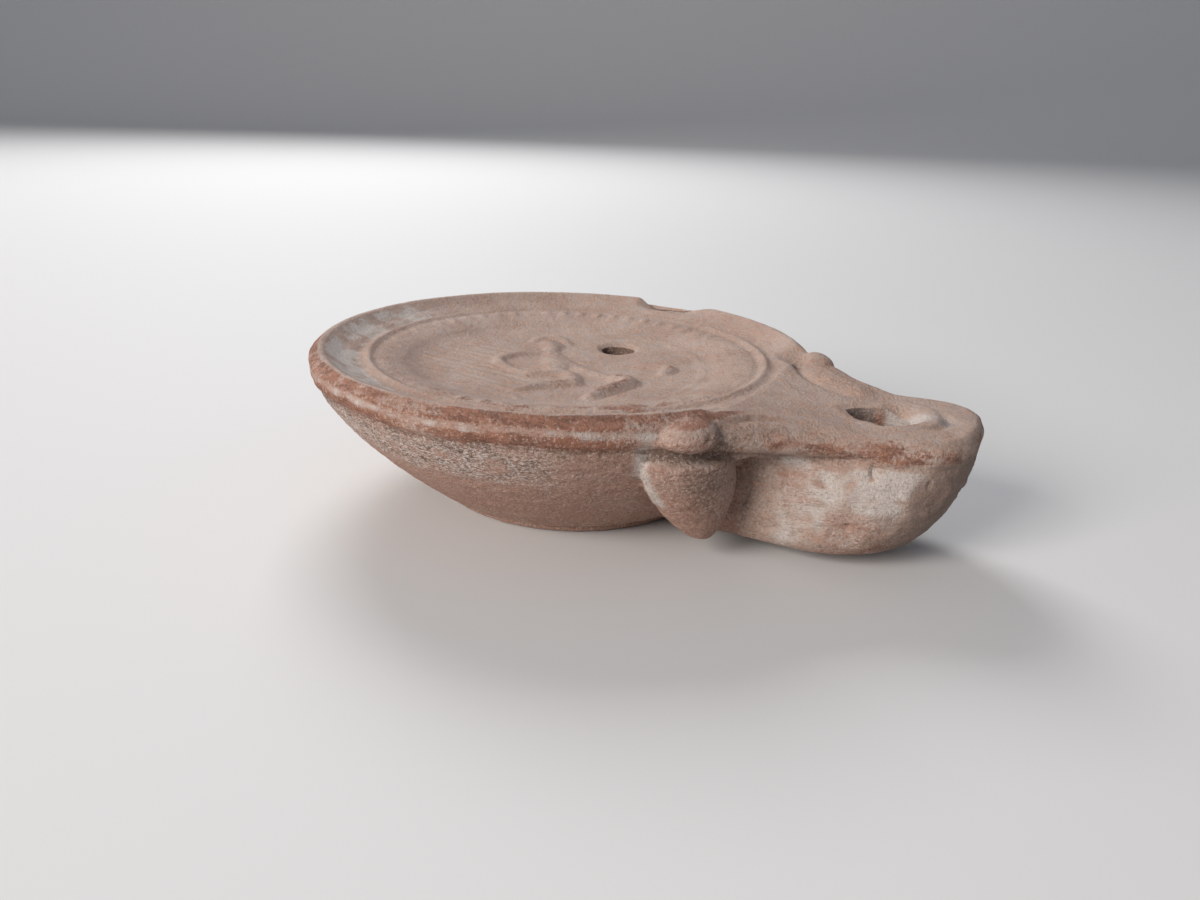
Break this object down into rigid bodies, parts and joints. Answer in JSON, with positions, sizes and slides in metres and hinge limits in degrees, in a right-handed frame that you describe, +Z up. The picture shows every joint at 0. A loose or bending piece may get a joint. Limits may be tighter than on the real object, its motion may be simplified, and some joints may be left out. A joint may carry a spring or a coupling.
{
  "type": "roman oil lamp",
  "caption": "Round fired-clay oil lamp, hollow, with a relief disc, egg band, filling hole, two shoulder volutes and a blunt nozzle with a wick hole.",
  "frame": {"origin": "centre of the foot's underside, on the surface that the lamp stands on", "axes": "+X along the nozzle towards its tip, +Y across the lamp, +Z up"},
  "size_m": [0.0984, 0.0755, 0.023],
  "materials": {
    "fired_clay": "matt fired clay with worn reddish slip and pale deposits"
  },
  "bodies": {
    "root": {"oil_lamp": "fired_clay"}
  },
  "joints": []
}
